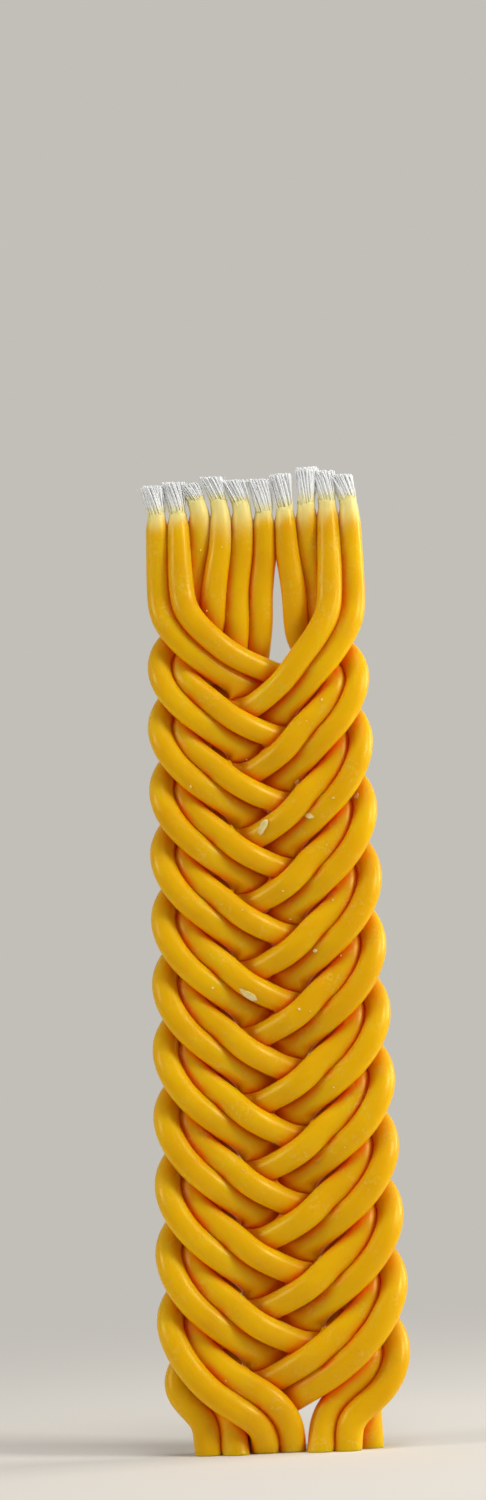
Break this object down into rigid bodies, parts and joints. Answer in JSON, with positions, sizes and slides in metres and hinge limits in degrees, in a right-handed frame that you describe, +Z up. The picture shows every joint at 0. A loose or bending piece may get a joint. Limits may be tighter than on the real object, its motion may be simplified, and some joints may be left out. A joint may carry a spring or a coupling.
{
  "type": "havdalah candle",
  "caption": "Flat plaited beeswax havdalah candle: paired dipped wax strands woven over and under, each on its own cotton wick, with frayed wick ends along the top.",
  "frame": {"origin": "middle of the foot, on the plane where the strands are cut square", "axes": "+Z up the candle to the wicks, +X to the right of the front face, the front face towards -Y"},
  "size_m": [0.0456, 0.0143, 0.1747],
  "materials": {
    "wax": "golden beeswax, satin, slightly translucent",
    "wick": "white plaited cotton, frayed at the top"
  },
  "bodies": {
    "root": {"wax_strand_01": "wax", "wax_strand_02": "wax", "wax_strand_03": "wax", "wax_strand_04": "wax", "wax_strand_05": "wax", "wax_strand_06": "wax", "wax_strand_07": "wax", "wax_strand_08": "wax", "wax_strand_09": "wax", "wax_strand_10": "wax", "wick_01": "wick", "wick_02": "wick", "wick_03": "wick", "wick_04": "wick", "wick_05": "wick", "wick_06": "wick", "wick_07": "wick", "wick_08": "wick", "wick_09": "wick", "wick_10": "wick"}
  },
  "joints": []
}
